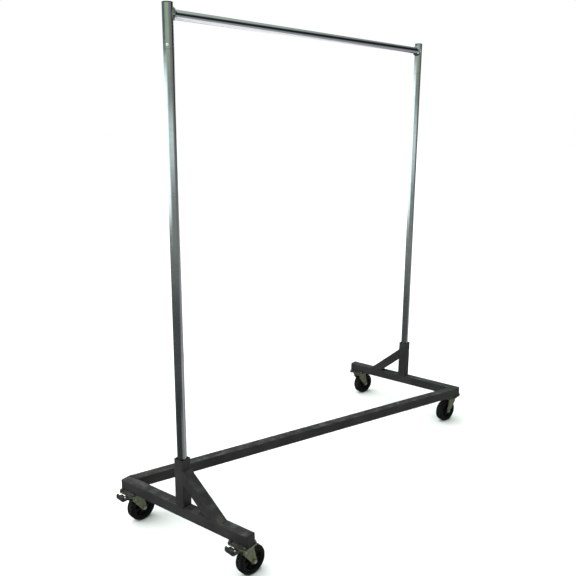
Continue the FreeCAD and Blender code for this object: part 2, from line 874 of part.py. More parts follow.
def axle_sleeve(name):
    """The spacer tube round the axle bolt, on which the wheel runs."""
    body = new_body(name + "_axle_sleeve")
    section = new_sketch(body, "XZ_Plane")
    circle(section, "sleeve_radius")
    circle(section, "axle_radius")
    pad(body, section, "2 * leg_inner", middle=True)
    at_axle(body, name)
    keep(body, name + "_axle_sleeve")


def wheel_core(name):
    """The wheel's hub, web and rim."""
    body = new_body(name + "_wheel_core")
    profile = new_sketch(body)
    right = [("sleeve_radius + fit_gap", "hub_half"), ("hub_radius", "hub_half"),
             ("hub_radius + hub_slope", "web_half"), ("rim_inner - rim_slope", "web_half"),
             ("rim_inner", "rim_half"), ("rim_outer", "rim_half")]
    left = [(x, "-" + y) for x, y in reversed(right)]
    outline(profile, right + left)
    revolve(body, profile)
    at_axle(body, name)
    keep(body, name + "_wheel_core")


def tyre(name):
    """The rubber tyre, with round shoulders."""
    body = new_body(name + "_tyre")
    profile = new_sketch(body)
    outline(profile, [("rim_outer", "tread_width / 2"), ("rim_outer", "-tread_width / 2"),
                      ("wheel_radius", "-tread_width / 2"), ("wheel_radius", "tread_width / 2")])
    revolve(body, profile)
    for way in (-ALONG_Y, ALONG_Y):
        round_edges(body, "shoulder_radius", rings("wheel_radius", way, "tread_width / 2"))
    at_axle(body, name)
    keep(body, name + "_tyre")


def pedal_lever(name):
    """The flat tread and the lever whose shoe wedges against the tyre."""
    body = new_body(name + "_pedal_lever")
    tread = new_sketch(body, "XZ_Plane")
    low = "pedal_top - pedal_thick"
    outline(tread, [("-grip_root", low), ("-pedal_heel", low), ("-pedal_heel", "pedal_top"),
                    ("-grip_root", "pedal_top")])
    pad(body, tread, "2 * pedal_half", middle=True)
    lever = new_sketch(body, "XZ_Plane")
    outline(lever, [("-pedal_heel - lever_lap", "pedal_top"), ("-pedal_heel - lever_lap", low),
                    ("-lever_heel_back", "lever_heel_height"),
                    ("-lever_knee_back", "lever_knee_height"),
                    ("-shoe_heel_back", "shoe_heel_height"), ("-shoe_toe_back", "shoe_toe_height"),
                    ("-shoe_root_back", "shoe_root_height"),
                    ("-pedal_pivot_back", "pedal_pivot_height - lever_eye_half"),
                    ("-pedal_pivot_back", "pedal_pivot_height + lever_eye_half"),
                    ("-lever_bend_back", "lever_bend_height"),
                    ("-lever_neck_back", "lever_neck_height"),
                    ("-lever_rise_back", "lever_rise_height")])
    pad(body, lever, "2 * lever_half", middle=True)
    boss = new_sketch(body, "XZ_Plane")
    circle(boss, "pedal_boss_radius", "-pedal_pivot_back", "pedal_pivot_height")
    pad(body, boss, "2 * lever_half", middle=True)
    bore = new_sketch(body, "XZ_Plane")
    circle(bore, "pedal_pin_radius + fit_gap", "-pedal_pivot_back", "pedal_pivot_height")
    pocket(body, bore, middle=True)
    return body


def pedal_grip(name):
    """The upright toe grip on the end of the tread."""
    body = new_body(name + "_pedal_grip")
    side = new_sketch(body, "XZ_Plane")
    outline(side, [("-pedal_tip", "grip_low_height"), ("-pedal_tip", "grip_shoulder_height"),
                   ("-grip_shoulder_back", "grip_top"), ("-grip_root", "grip_top"),
                   ("-grip_root", "grip_foot_height"), ("-grip_foot_back", "grip_foot_height")])
    pad(body, side, "2 * pedal_half", middle=True)
    return body


def brake_pedal(name):
    """The foot pedal of a braked caster: lever and grip."""
    pedal = gather(name + "_brake_pedal", [pedal_lever(name), pedal_grip(name)])
    stand(pedal, name)


def pedal_pin(name):
    """The pin across the fork on which the pedal tips."""
    cross_pin(name, name + "_pedal_pin", "pedal_pin_radius", "pedal_pin_head",
              "pedal_pin_head_rise", "-pedal_pivot_back", "pedal_pivot_height")


# ---------------------------------------------------------------- build, check and write

for side in SIDES:
    foot_tube(side)
    socket_tube(side)
    brace(side)
    bar_stub(side)
    upright(side)
    rail_post(side)
    snap_button(side)
base_bar()
base_bar_screws()
foot_end_caps()
joint_inserts()
post_caps()
hang_rail()
rail_end_flares()
mount_plates()
plate_bolts()
for name in CASTERS:
    caster_plate(name)
    kingpin(name)
    bearing_balls(name)
    fork(name)
    axle(name)
    axle_sleeve(name)
    wheel_core(name)
    tyre(name)
for name in BRAKED:
    brake_pedal(name)
    pedal_pin(name)

doc.recompute()
for item in doc.Objects:
    if "Invalid" in item.State or "Error" in item.State:
        raise ValueError(item.Label + " did not recompute")

os.makedirs("parts", exist_ok=True)
for node in nodes:
    if node.Shape.isNull() or not node.Shape.isValid():
        raise ValueError(node.Label + " has no valid shape")
    node.Shape.exportStep("parts/%s.step" % node.Label)
print("wrote", len(nodes), "sub-parts")
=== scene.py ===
"""Looks of the rolling clothes rack: powder coated Z base, chrome uprights and rail, zinc casters.

Lengths are metres, in the frame of the CAD model: +X along the hang rail, -Y front, +Z up.
"""
import math

import bmesh
import bpy
from mathutils import Matrix, Vector


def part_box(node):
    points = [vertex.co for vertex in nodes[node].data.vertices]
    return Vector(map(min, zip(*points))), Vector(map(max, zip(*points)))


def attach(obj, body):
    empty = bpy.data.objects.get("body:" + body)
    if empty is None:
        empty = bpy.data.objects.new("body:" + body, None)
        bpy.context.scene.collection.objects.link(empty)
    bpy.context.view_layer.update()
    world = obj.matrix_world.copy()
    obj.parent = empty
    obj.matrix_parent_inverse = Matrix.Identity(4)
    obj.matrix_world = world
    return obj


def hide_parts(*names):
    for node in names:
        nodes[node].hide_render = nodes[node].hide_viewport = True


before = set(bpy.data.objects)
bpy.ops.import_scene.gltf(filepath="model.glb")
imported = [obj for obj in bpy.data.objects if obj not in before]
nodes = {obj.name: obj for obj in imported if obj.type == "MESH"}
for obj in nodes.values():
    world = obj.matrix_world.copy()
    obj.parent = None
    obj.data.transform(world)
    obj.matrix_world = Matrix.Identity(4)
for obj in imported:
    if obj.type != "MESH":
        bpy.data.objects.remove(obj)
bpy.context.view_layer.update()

MM = 0.001
CASTERS = ("rear_left", "front_left", "rear_right", "front_right")
BRAKED = ("rear_left", "front_left")
SIDES = {"left": -1, "right": 1}
ALONG_X = Vector((1, 0, 0))
ALONG_Y = Vector((0, 1, 0))
ALONG_Z = Vector((0, 0, 1))

# camera, fitted to the straight edges in the photograph
CAMERA_PLACE = Vector((-2.2489, -1.5511, 1.4307))
CAMERA_YAW = math.radians(52.96)
CAMERA_PITCH = math.radians(-13.94)
CAMERA_ROLL = math.radians(0.34)
CAMERA_LENS = 44.45
CAMERA_SENSOR = 36.0

# weld beads; shares are of the length of the edge that is welded
WELD_RADIUS = 2.5 * MM
PLATE_WELD_RADIUS = 2.0 * MM
RIPPLE_LENGTH = 2.2 * MM
RIPPLE_RINGS = 4
RIPPLE_SWELL = 0.10
HAND_SWELL = 0.05
HAND_TURN = 0.37
BEAD_SIDES = 10
BEAD_STANDS_OUT = 0.15
BEAD_END = 0.35
BEAD_FADE_RINGS = 6
TUBE_WELD_SHARE = 0.86
BAR_WELD_SHARE = 0.9
PLATE_WELD_SHARE = 0.72

# base tubes and their fasteners
BAR_TURN = math.radians(20.1)
SCREW_FROM_FOOT = 338 * MM
SCREW_RADIUS = 5.5 * MM
SCREW_RISE = 2.6 * MM
SCREW_SOCKET = 0.42 * SCREW_RADIUS
SCREW_SOCKET_FLOOR = 0.40 * SCREW_RADIUS
SCREW_SOCKET_DEPTH = 1.6 * MM

# hairline joint in each post, drawn as a ring of painted shade
SEAM_PROUD = 0.12 * MM
SEAM_HALF = 0.35 * MM

# snap buttons, measured from the post's axis
SNAP_RADIUS = 4 * MM
SNAP_FLANGE = 5.9 * MM
SNAP_TIP = 19.8 * MM
SNAP_SEAT = 10.1 * MM
SNAP_TURN = math.radians(32)
SNAP_DOME = 3.4 * MM

# casters
BOLT_ACROSS = 24.6 * MM
BOLT_ALONG = 30 * MM
BOLT_HEAD_RADIUS = 5.2 * MM
BOLT_HEAD_RISE = 3.2 * MM
BOLT_SHANK_RADIUS = 3 * MM
NUT_RADIUS = 5.7 * MM
NUT_RISE = 5 * MM
HEX_TURN = math.radians(30)
HEX_POINTS = 48
PLATES_THICK = 7.2 * MM
LEG_OUTER = 21.1 * MM
AXLE_HEAD = 5.3 * MM
AXLE_HEAD_RADIUS = 7.5 * MM
AXLE_RADIUS = 4 * MM
WASHER_THICK = 1.2 * MM
WASHER_EDGE = 0.2 * MM
COLLAR_RISE = 0.9 * MM
HUB_RADIUS = 14 * MM
HUB_HALF = 18.1 * MM
BORE_RADIUS = 6.36 * MM
WEB_HALF = 5 * MM
RIM_INNER = 33 * MM
RIM_HALF = 13.5 * MM
RIB_COUNT = 6
RIB_THICK = 2.6 * MM
TREAD_HALF = 16 * MM
SHOULDER = 6 * MM
GROOVE_ASIDE = 4.6 * MM
GROOVE_DEPTH = 0.7 * MM
SCUFFED_FROM = 48.5 * MM
SCUFFED_FULLY = 50.3 * MM
FROM_AXLE = "from_axle"

# the tyre's side from the rim outwards, in mm: (out from the rim, proud of the wall)
TYRE_SIDE = ((0, -1.0), (1.2, 0), (3.0, 0), (3.5, 0.5), (4.8, 0.5), (5.3, 0))
TYRE_WALL_SET_BACK = 0.5 * MM

# brake pedal: outlines are (back from the swivel axis, height) in mm
PEDAL_HALF = 20 * MM
TREAD_SIDE = ((31, 109.4), (50, 109.4), (50, 112.4), (31, 112.4))
GRIP_SIDE = ((56, 107), (56.5, 117.5), (53.5, 123.2), (48.5, 123.2), (48.5, 104), (52, 104))
GRIP_ROOT = Vector((-48.5, 0, 113)) * MM
GRIP_ROUNDING = 3.2 * MM
GRIP_SOFT_END = 9 * MM
GRIP_END_SIZE = 0.8
TREAD_ROUNDING = 1.4 * MM
SKIRT_SIDE = ((31, 112.2), (31, 107.5), (42, 105), (52, 105), (52, 112.2))
SKIRT_ASIDE = 18.4 * MM
SKIRT_HALF = 1.4 * MM
SKIRT_EDGE = 0.7 * MM
LEVER_SIDE = ((33, 112.4), (33, 109.4), (31.5, 101), (17, 94.5), (14, 87), (10, 84.5), (7.5, 92.5),
              (6.4, 93.4), (6.4, 99.4), (12, 100.6), (27, 103.6), (30.3, 107.5))
LEVER_HALF = 13 * MM
LEVER_ROUNDING = 1.6 * MM
PRESSED_EDGE = 1.2 * MM
PIVOT_BACK = 3 * MM
PIVOT_HEIGHT = 96.5 * MM
PIVOT_BORE = 2.6 * MM
PIVOT_BOSS = 4.6 * MM
TREAD_RAISED = 0.7 * MM
TREAD_RIB_HALF = 1.1 * MM
TREAD_RIB_MARGIN = 3 * MM
RIB_BACKS = (44.5 * MM, 47.5 * MM)
RIVET_BACK = 37 * MM
RIVET_ASIDE = -8 * MM
RIVET_RADIUS = 2.5 * MM

# surroundings; angles are in degrees
ROOM_FACING = 217.0
FLOOR_HALF = 30.0
CEILING_STRENGTH = 3.4
CEILING_SPREAD = 80
CEILING_AIM = Vector((0.25, -0.25, -1.0))
FILL_PLACE = Vector((-1.9, 1.3, 1.1))
FILL_AIM = Vector((-0.7, 0.3, 0.2))
FILL_SIZE = 1.2
FILL_WATTS = 11

# colours that materials share or blend towards
# pale dust, blended onto upward faces of the powder coat together with painted top light
DUST_AND_TOP_LIGHT = (0.16, 0.155, 0.15)
# bare metal at rubbed edges, also used as a painted edge highlight on the powder coat
BARE_AND_LIT_EDGE = (0.24, 0.24, 0.24)
CHROME_CLEAN = (0.63, 0.645, 0.65)
CHROME_SMUDGED = (0.55, 0.575, 0.575)
ZINC_DARK = (0.135, 0.145, 0.085)
ZINC_LIGHT = (0.20, 0.21, 0.125)
ZINC_STAIN = (0.06, 0.065, 0.045)
RUBBER_BLACK = (0.0035, 0.0035, 0.0035)
RUBBER_FILM = (0.011, 0.011, 0.0105)
RUBBER_SCUFF = (0.07, 0.07, 0.064)
# painted shade: the dark colours of the shadow line in each post's hairline gap
PAINTED_SHADOW_DARK = (0.01, 0.01, 0.01)
PAINTED_SHADOW_LIGHT = (0.04, 0.038, 0.035)
FLOOR_DARK = (0.93, 0.93, 0.93)
FLOOR_LIGHT = (0.95, 0.95, 0.95)


# ---------------------------------------------------------------- node trees

class Graph:
    """Short ways to add and join nodes in one node tree."""

    def __init__(self, tree):
        self.tree = tree

    def add(self, kind, **settings):
        node = self.tree.nodes.new(kind)
        for key, setting in settings.items():
            setattr(node, key, setting)
        return node

    def feed(self, value, socket):
        """Give a socket a number, a colour or another socket's output."""
        if isinstance(value, (int, float)):
            socket.default_value = value
        elif isinstance(value, tuple):
            socket.default_value = value + (1.0,) if len(value) < len(socket.default_value) else value
        else:
            self.tree.links.new(value, socket)

    def math(self, operation, a, b=None):
        node = self.add("ShaderNodeMath", operation=operation)
        self.feed(a, node.inputs[0])
        if b is not None:
            self.feed(b, node.inputs[1])
        return node.outputs["Value"]

    def spread(self, value, low, high, to_low=0.0, to_high=1.0):
        """Map a range of values smoothly onto another one, flat beyond its ends."""
        node = self.add("ShaderNodeMapRange", clamp=True, interpolation_type="SMOOTHSTEP")
        self.feed(value, node.inputs["Value"])
        node.inputs["From Min"].default_value = low
        node.inputs["From Max"].default_value = high
        node.inputs["To Min"].default_value = to_low
        node.inputs["To Max"].default_value = to_high
        return node.outputs["Result"]

    def mix(self, share, a, b):
        """Blend two colours."""
        node = self.add("ShaderNodeMix", data_type="RGBA")
        colours = [socket for socket in node.inputs if socket.type == "RGBA"]
        self.feed(share, node.inputs["Factor"])
        self.feed(a, colours[0])
        self.feed(b, colours[1])
        return next(socket for socket in node.outputs if socket.type == "RGBA")


class Paint(Graph):
    """A material built up round one Principled shader."""

    def __init__(self, name):
        self.material = bpy.data.materials.new(name)
        self.material.use_nodes = True
        super().__init__(self.material.node_tree)
        self.surface = self.tree.nodes["Principled BSDF"]
        self.place = self.add("ShaderNodeTexCoord").outputs["Object"]

    def constant(self, **values):
        """Set sockets of the Principled shader; underscores stand for spaces."""
        for key, amount in values.items():
            self.surface.inputs[key.replace("_", " ")].default_value = amount

    def stretched(self, x, y, z):
        """Object coordinates scaled along each axis."""
        mapping = self.add("ShaderNodeMapping")
        mapping.inputs["Scale"].default_value = (x, y, z)
        self.feed(self.place, mapping.inputs["Vector"])
        return mapping.outputs["Vector"]

    def noise(self, scale, detail=4.0, rough=0.55, where=None):
        """Cloudy noise from 0 to 1."""
        node = self.add("ShaderNodeTexNoise")
        node.inputs["Scale"].default_value = scale
        node.inputs["Detail"].default_value = detail
        node.inputs["Roughness"].default_value = rough
        self.feed(where or self.place, node.inputs["Vector"])
        return node.outputs["Fac"]

    def specks(self, scale, size):
        """1 inside scattered small spots."""
        node = self.add("ShaderNodeTexVoronoi", feature="F1")
        node.inputs["Scale"].default_value = scale
        self.feed(self.place, node.inputs["Vector"])
        return self.spread(node.outputs["Distance"], size * 0.6, size, 1.0, 0.0)

    def facing_up(self):
        """1 where the surface faces up and 0 where it faces sideways or down."""
        split = self.add("ShaderNodeSeparateXYZ")
        self.feed(self.add("ShaderNodeNewGeometry").outputs["Normal"], split.inputs["Vector"])
        return self.spread(split.outputs["Z"], 0.5, 0.98)

    def edges(self, width):
        """1 along convex edges and 0 on flat faces."""
        bevel = self.add("ShaderNodeBevel", samples=4)
        bevel.inputs["Radius"].default_value = width
        compare = self.add("ShaderNodeVectorMath", operation="DOT_PRODUCT")
        self.feed(bevel.outputs["Normal"], compare.inputs[0])
        self.feed(self.add("ShaderNodeNewGeometry").outputs["Normal"], compare.inputs[1])
        return self.spread(compare.outputs["Value"], 0.8, 0.99, 1.0, 0.0)

    def relief(self, height, strength, distance):
        """Bump the surface by a height."""
        node = self.add("ShaderNodeBump")
        node.inputs["Strength"].default_value = strength
        node.inputs["Distance"].default_value = distance
        self.feed(height, node.inputs["Height"])
        self.feed(node.outputs["Normal"], self.surface.inputs["Normal"])

    def colour(self, value):
        self.feed(value, self.surface.inputs["Base Color"])

    def roughness(self, value):
        self.feed(value, self.surface.inputs["Roughness"])


# ---------------------------------------------------------------- materials

def powder_coat(name, dark, light, gloss):
    """Baked powder paint: fine orange peel, cloudy gloss, dust with painted top light on upward faces, and
    rubbed edges with a painted edge highlight.
    """
    paint = Paint(name)
    clouds = paint.noise(9.0, detail=6.0)
    mottled = paint.mix(paint.spread(clouds, 0.35, 0.68), dark, light)
    # painted top light: upward faces are lightened in patches, partly dust settled there
    upper_patches = paint.spread(paint.noise(34.0), 0.42, 0.75, 0.0, 0.35)
    dust_and_top_light = paint.math("MULTIPLY", paint.facing_up(), upper_patches)
    dusty_and_top_lit = paint.mix(dust_and_top_light, mottled, DUST_AND_TOP_LIGHT)
    # convex edges lightened in patches: rubbed paint together with a painted edge highlight
    edge_patches = paint.spread(paint.noise(160.0), 0.56, 0.66, 0.0, 0.55)
    chips_and_edge_light = paint.math("MULTIPLY", paint.edges(1.2 * MM), edge_patches)
    paint.colour(paint.mix(chips_and_edge_light, dusty_and_top_lit, BARE_AND_LIT_EDGE))
    peel = paint.noise(900.0, detail=2.0)
    scuffs = paint.noise(60.0, detail=5.0, rough=0.7)
    rough = paint.spread(clouds, 0.3, 0.7, gloss, gloss + 0.14)
    paint.roughness(paint.math("ADD", rough, paint.spread(scuffs, 0.5, 0.75, 0.0, 0.12)))
    paint.relief(peel, 0.25, 0.2 * MM)
    paint.constant(Specular_IOR_Level=0.2)
    return paint.material


def chrome():
    """Bright plating with polishing lines round the tube, smudges and a few pits."""
    paint = Paint("chrome_plating")
    paint.constant(Metallic=1.0)
    smudges = paint.noise(14.0, detail=5.0, rough=0.6)
    paint.colour(paint.mix(paint.spread(smudges, 0.4, 0.7), CHROME_CLEAN, CHROME_SMUDGED))
    wipes = paint.noise(6.0, detail=6.0, rough=0.7, where=paint.stretched(1.0, 1.0, 8.0))
    rough = paint.spread(wipes, 0.35, 0.75, 0.05, 0.13)
    pits = paint.specks(420.0, 0.10)
    paint.roughness(paint.math("ADD", rough, paint.math("MULTIPLY", pits, 0.25)))
    paint.relief(paint.noise(40.0, detail=3.0, where=paint.stretched(1.0, 1.0, 0.25)), 0.04, 0.2 * MM)
    return paint.material


def zinc():
    """Passivated zinc: cloudy olive grey, duller in patches."""
    paint = Paint("zinc_plating")
    paint.constant(Metallic=0.65)
    clouds = paint.noise(75.0, detail=5.0)
    tint = paint.mix(paint.spread(clouds, 0.38, 0.62), ZINC_DARK, ZINC_LIGHT)
    stains = paint.spread(paint.noise(230.0, detail=4.0), 0.5, 0.7)
    paint.colour(paint.mix(paint.math("MULTIPLY", stains, 0.7), tint, ZINC_STAIN))
    paint.roughness(paint.spread(clouds, 0.3, 0.7, 0.34, 0.52))
    paint.relief(paint.noise(1200.0, detail=2.0), 0.12, 0.1 * MM)
    return paint.material


def fastener_steel(name, clean, dirty, metallic):
    """Plate on bolts, nuts, rivets and buttons, with a little dirt."""
    paint = Paint(name)
    paint.constant(Metallic=metallic)
    dulled = paint.spread(paint.noise(420.0, detail=4.0), 0.5, 0.72)
    paint.colour(paint.mix(dulled, clean, dirty))
    paint.roughness(paint.spread(dulled, 0.0, 1.0, 0.28, 0.55))
    paint.relief(paint.noise(1600.0, detail=2.0), 0.15, 0.08 * MM)
    return paint.material


def rubber():
    """Black tyre rubber with pale dirt and scuffs where it rolls."""
    paint = Paint("tyre_rubber")
    out = paint.add("ShaderNodeAttribute", attribute_name=FROM_AXLE).outputs["Fac"]
    tread = paint.spread(out, SCUFFED_FROM, SCUFFED_FULLY)
    scuffs = paint.spread(paint.noise(150.0, detail=6.0, rough=0.7), 0.50, 0.70)
    worn = paint.math("MULTIPLY", tread, paint.math("MULTIPLY", scuffs, 0.6))
    film = paint.spread(paint.noise(40.0), 0.4, 0.7, 0.0, 0.3)
    base = paint.mix(film, RUBBER_BLACK, RUBBER_FILM)
    paint.colour(paint.mix(worn, base, RUBBER_SCUFF))
    paint.roughness(paint.spread(paint.noise(90.0), 0.3, 0.7, 0.5, 0.72))
    paint.constant(Specular_IOR_Level=0.12)
    paint.relief(paint.noise(1500.0, detail=3.0), 0.3, 0.15 * MM)
    return paint.material


def moulded_plastic(name, dark, light, low_gloss, grain):
    """Injection moulded black plastic with a fine grain and flow clouding."""
    paint = Paint(name)
    clouds = paint.noise(55.0, detail=3.0)
    paint.colour(paint.mix(paint.spread(clouds, 0.35, 0.7), dark, light))
    paint.roughness(paint.spread(clouds, 0.3, 0.7, low_gloss, low_gloss + 0.15))
    paint.constant(Specular_IOR_Level=0.12)
    paint.relief(paint.noise(grain, detail=2.0), 0.2, 0.12 * MM)
    return paint.material


def painted_shadow_line():
    """Painted shade: the dark line drawn where a narrow gap lies in shadow."""
    paint = Paint("painted_gap_shadow")
    paint.colour(paint.mix(paint.spread(paint.noise(600.0), 0.4, 0.6), PAINTED_SHADOW_DARK, PAINTED_SHADOW_LIGHT))
    paint.constant(Roughness=0.9)
    return paint.material


FINISHES = {
    "base_paint": powder_coat("base_powder_coat", (0.0185, 0.0181, 0.018),
                              (0.029, 0.0283, 0.0281), 0.44),
    "chrome": chrome(),
    "zinc": zinc(),
    "fastener_steel": fastener_steel("fastener_plating", (0.36, 0.36, 0.34),
                                     (0.15, 0.15, 0.135), 1.0),
    "rubber": rubber(),
    "wheel_plastic": moulded_plastic("wheel_moulding", (0.0035, 0.0035, 0.0035),
                                     (0.008, 0.008, 0.008), 0.38, 900.0),
    "cap_plastic": moulded_plastic("cap_moulding", (0.012, 0.012, 0.012),
                                   (0.02, 0.02, 0.02), 0.42, 1400.0),
    "pedal_paint": powder_coat("pedal_lacquer", (0.012, 0.012, 0.012),
                               (0.024, 0.024, 0.024), 0.4),
}
# painted shade for the dark line in the post seams
PAINTED_SHADOW_LINE = painted_shadow_line()
# near-white, mostly non-metallic plating for snap buttons and pedal rivets: bright plating with a painted
# glint
BRIGHT_WITH_GLINT = fastener_steel("bright_nickel_painted_glint", (0.86, 0.87, 0.86), (0.62, 0.62, 0.60), 0.3)


def dress_cad_nodes():
    """Give every carried-over CAD node the finish of its material slot."""
    for node in nodes.values():
        for slot in node.material_slots:
            slot.material = FINISHES[slot.material.name.split(".")[0]]


# ---------------------------------------------------------------- mesh building

def join_rings(rings, closed=False):
    """Vertices and faces of a skin through rings of equally many points; open skins get end caps."""
    count = len(rings[0])
    points = [point for ring in rings for point in ring]
    faces = []
    for i in range(len(rings) if closed else len(rings) - 1):
        start, after = i * count, (i + 1) % len(rings) * count
        for j in range(count):
            k = (j + 1) % count
            faces.append((start + j, start + k, after + k, after + j))
    if not closed:
        faces.append(tuple(range(count)))
        faces.append(tuple(range(len(points) - count, len(points))))
    return points, faces


def round_ring(radius, along, count=64):
    """A circle about the local Y axis."""
    turns = [2 * math.pi * i / count for i in range(count)]
    return [Vector((radius * math.cos(t), along, radius * math.sin(t))) for t in turns]


def hex_ring(corner, limit, along):
    """A hexagon about the local Y axis, cut back to a circle where that is smaller."""
    flat = corner * math.cos(math.pi / 6)
    ring = []
    for i in range(HEX_POINTS):
        t = 2 * math.pi * i / HEX_POINTS
        radius = min(flat / math.cos((t % (math.pi / 3)) - math.pi / 6), limit)
        ring.append(Vector((radius * math.cos(t), along, radius * math.sin(t))))
    return ring


def turned(profile, closed=False, count=64):
    """A solid of revolution about the local Y axis from (radius, along) pairs."""
    return join_rings([round_ring(radius, along, count) for radius, along in profile], closed)


def piece(name, skins, slot, body, matrix=None, finish=None, sharp=35):
    """Make one object out of skins, dress it and let it ride on a body; its axes stay those of the model."""
    place = matrix or Matrix()
    turn = place.to_3x3()
    work = bmesh.new()
    for points, faces in skins:
        made = [work.verts.new(turn @ point) for point in points]
        for face in faces:
            work.faces.new([made[i] for i in face])
    bmesh.ops.remove_doubles(work, verts=work.verts, dist=0.001 * MM)
    bmesh.ops.recalc_face_normals(work, faces=work.faces)
    mesh = bpy.data.meshes.new(name)
    work.to_mesh(mesh)
    work.free()
    mesh.polygons.foreach_set("use_smooth", [True] * len(mesh.polygons))
    mesh.set_sharp_from_angle(angle=math.radians(sharp))
    mesh.materials.append(finish or FINISHES[slot])
    made = bpy.data.objects.new(name, mesh)
    bpy.context.scene.collection.objects.link(made)
    made.location = place.translation
    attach(made, body)
    return made


def moved(skin, matrix):
    """A skin carried by a matrix."""
    points, faces = skin
    return [matrix @ point for point in points], faces


def middle(node):
    """The centre of a CAD node's box."""
    low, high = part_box(node)
    return (Vector(low) + Vector(high)) / 2


def half_size(node):
    """Half the size of a CAD node's box."""
    low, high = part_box(node)
    return (Vector(high) - Vector(low)) / 2


def axle_frame(name):
    """The frame of a caster's wheel: X away from the swivel axis, Y along the axle, Z up."""
    swivel = middle(name + "_kingpin")
    centre = middle(name + "_axle_sleeve")
    heading = math.atan2(centre.y - swivel.y, centre.x - swivel.x)
    return Matrix.Translation(centre) @ Matrix.Rotation(heading, 4, "Z")


# ---------------------------------------------------------------- welds

def bead_path(corners, step):
    """Evenly spaced points along straight runs between corners."""
    points = []
    for start, end in zip(corners, corners[1:]):
        count = max(2, round((end - start).length / step))
        points += [start.lerp(end, i / count) for i in range(count)]
    return points + [corners[-1]]


def weld_bead(corners, lean, radius=WELD_RADIUS):
    """A rippled weld along a path of corners; lean is the way out of the corner it fills."""
    step = RIPPLE_LENGTH / RIPPLE_RINGS
    path = bead_path(corners, step)
    rings = []
    for i, point in enumerate(path):
        before, after = path[max(i - 1, 0)], path[min(i + 1, len(path) - 1)]
        ahead = (after - before).normalized()
        side = ahead.cross(lean).normalized()
        out = side.cross(ahead).normalized()
        ripple = RIPPLE_SWELL * math.cos(2 * math.pi * i * step / RIPPLE_LENGTH)
        wave = 1 + ripple + HAND_SWELL * math.sin(i * HAND_TURN)
        from_end = min(i, len(path) - 1 - i)
        size = radius * wave * min(1, BEAD_END + from_end / BEAD_FADE_RINGS)
        centre = point + out * radius * BEAD_STANDS_OUT
        turns = [2 * math.pi * j / BEAD_SIDES for j in range(BEAD_SIDES)]
        rings.append([centre + (out * math.cos(t) + side * math.sin(t)) * size for t in turns])
    return join_rings(rings)


def base_welds():
    """Beads at the sockets, the braces and the ends of the long bar."""
    for side, across in SIDES.items():
        socket = middle(side + "_socket_tube")
        width = half_size(side + "_socket_tube").x
        foot_centre = Vector((socket.x, socket.y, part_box(side + "_foot_tube")[1][2]))
        skins = []
        for way in (ALONG_Y * -across, ALONG_X, -ALONG_X):
            run = way.cross(ALONG_Z) * width * TUBE_WELD_SHARE
            start = foot_centre + way * width
            skins.append(weld_bead([start - run, start + run], way + ALONG_Z))
        skins += brace_welds(side, foot_centre, width, across)
        skins += bar_weld(side, foot_centre, across)
        piece(side + "_base_welds", skins, "base_paint", "root")


def brace_welds(side, foot_centre, width, facing):
    """Beads across both ends of a slanted brace; facing is -1 for a front brace and 1 for a rear one."""
    low, high = [Vector(corner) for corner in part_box(side + "_brace")]
    far = high.y if facing > 0 else low.y
    along = ALONG_Y * facing
    toe = Vector((foot_centre.x, far, foot_centre.z))
    head = Vector((foot_centre.x, foot_centre.y + facing * width, high.z))
    across = ALONG_X * width * TUBE_WELD_SHARE
    return [weld_bead([toe - across, toe + across], along + ALONG_Z),
            weld_bead([head - across, head + across], along + ALONG_Z)]


def bar_weld(side, foot_centre, across):
    """Beads where the mitred end of the long bar meets the inner face of the foot."""
    low, high = [Vector(corner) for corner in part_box("base_bar")]
    half = (high.z - low.z) / 2
    span = 2 * half / math.cos(BAR_TURN)
    outer = high.y if across < 0 else low.y
    inner = outer + across * span
    face = foot_centre.x - across * half
    centre = Vector((face, (outer + inner) / 2, (low.z + high.z) / 2))
    inward = -ALONG_X * across
    run = ALONG_Y * span / 2
    rise = ALONG_Z * half
    edge = centre + run * across
    welded_rise = rise * TUBE_WELD_SHARE
    top_edge = centre + rise
    welded_run = run * BAR_WELD_SHARE
    return [weld_bead([edge - welded_rise, edge + welded_rise], inward + ALONG_Y * across),
            weld_bead([top_edge - welded_run, top_edge + welded_run], inward)]


def plate_welds():
    """Beads along both sides of each foot, where the caster's mount plate is welded on."""
    for name in CASTERS:
        side = name.split("_")[1]
        foot = middle(side + "_foot_tube")
        width = half_size(side + "_foot_tube").x
        plate = middle(name + "_plate")
        reach = half_size(name + "_plate").y * PLATE_WELD_SHARE
        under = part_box(side + "_foot_tube")[0][2]
        skins = []
        for way in (-1, 1):
            spot = Vector((foot.x + way * width, plate.y, under))
            ends = [spot - ALONG_Y * reach, spot + ALONG_Y * reach]
            skins.append(weld_bead(ends, ALONG_X * way + ALONG_Z, PLATE_WELD_RADIUS))
        piece(name + "_plate_welds", skins, "base_paint", "root")


# ---------------------------------------------------------------- small hardware

def hex_head(corner, low, high, chamfer):
    """A chamfered hexagon along local Y from low to high, chamfered at high."""
    step = (high - low) * chamfer
    return join_rings([hex_ring(corner, corner, low), hex_ring(corner, corner * 0.985, high - step),
                       hex_ring(corner, corner * 0.86, high)])


def standing(x, y, z, turn=0.0):
    """A frame at a place whose local Y points up, turned about it."""
    lift = Matrix.Rotation(math.radians(90), 4, "X")
    return Matrix.Translation((x, y, z)) @ lift @ Matrix.Rotation(turn, 4, "Y")


def hanging(x, y, z, turn=0.0):
    """A frame at a place whose local Y points down."""
    lift = Matrix.Rotation(math.radians(-90), 4, "X")
    return Matrix.Translation((x, y, z)) @ lift @ Matrix.Rotation(turn, 4, "Y")


def plate_bolts():
    """Hexagon bolts and nuts through the caster plates, in place of the plain CAD ones."""
    skins = []
    for name in CASTERS:
        swivel = middle(name + "_kingpin")
        for across in (-1, 1):
            for along in (-1, 1):
                bar_corner = swivel.x * swivel.y < 0
                under_bar = bar_corner and swivel.x * across < 0 and swivel.x * along < 0
                skins += plate_bolt(swivel.x + across * BOLT_ACROSS,
                                    swivel.y + along * BOLT_ALONG, not under_bar)
    made = piece("caster_plate_hardware", skins, "fastener_steel", "root", sharp=28)
    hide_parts("caster_plate_bolts")


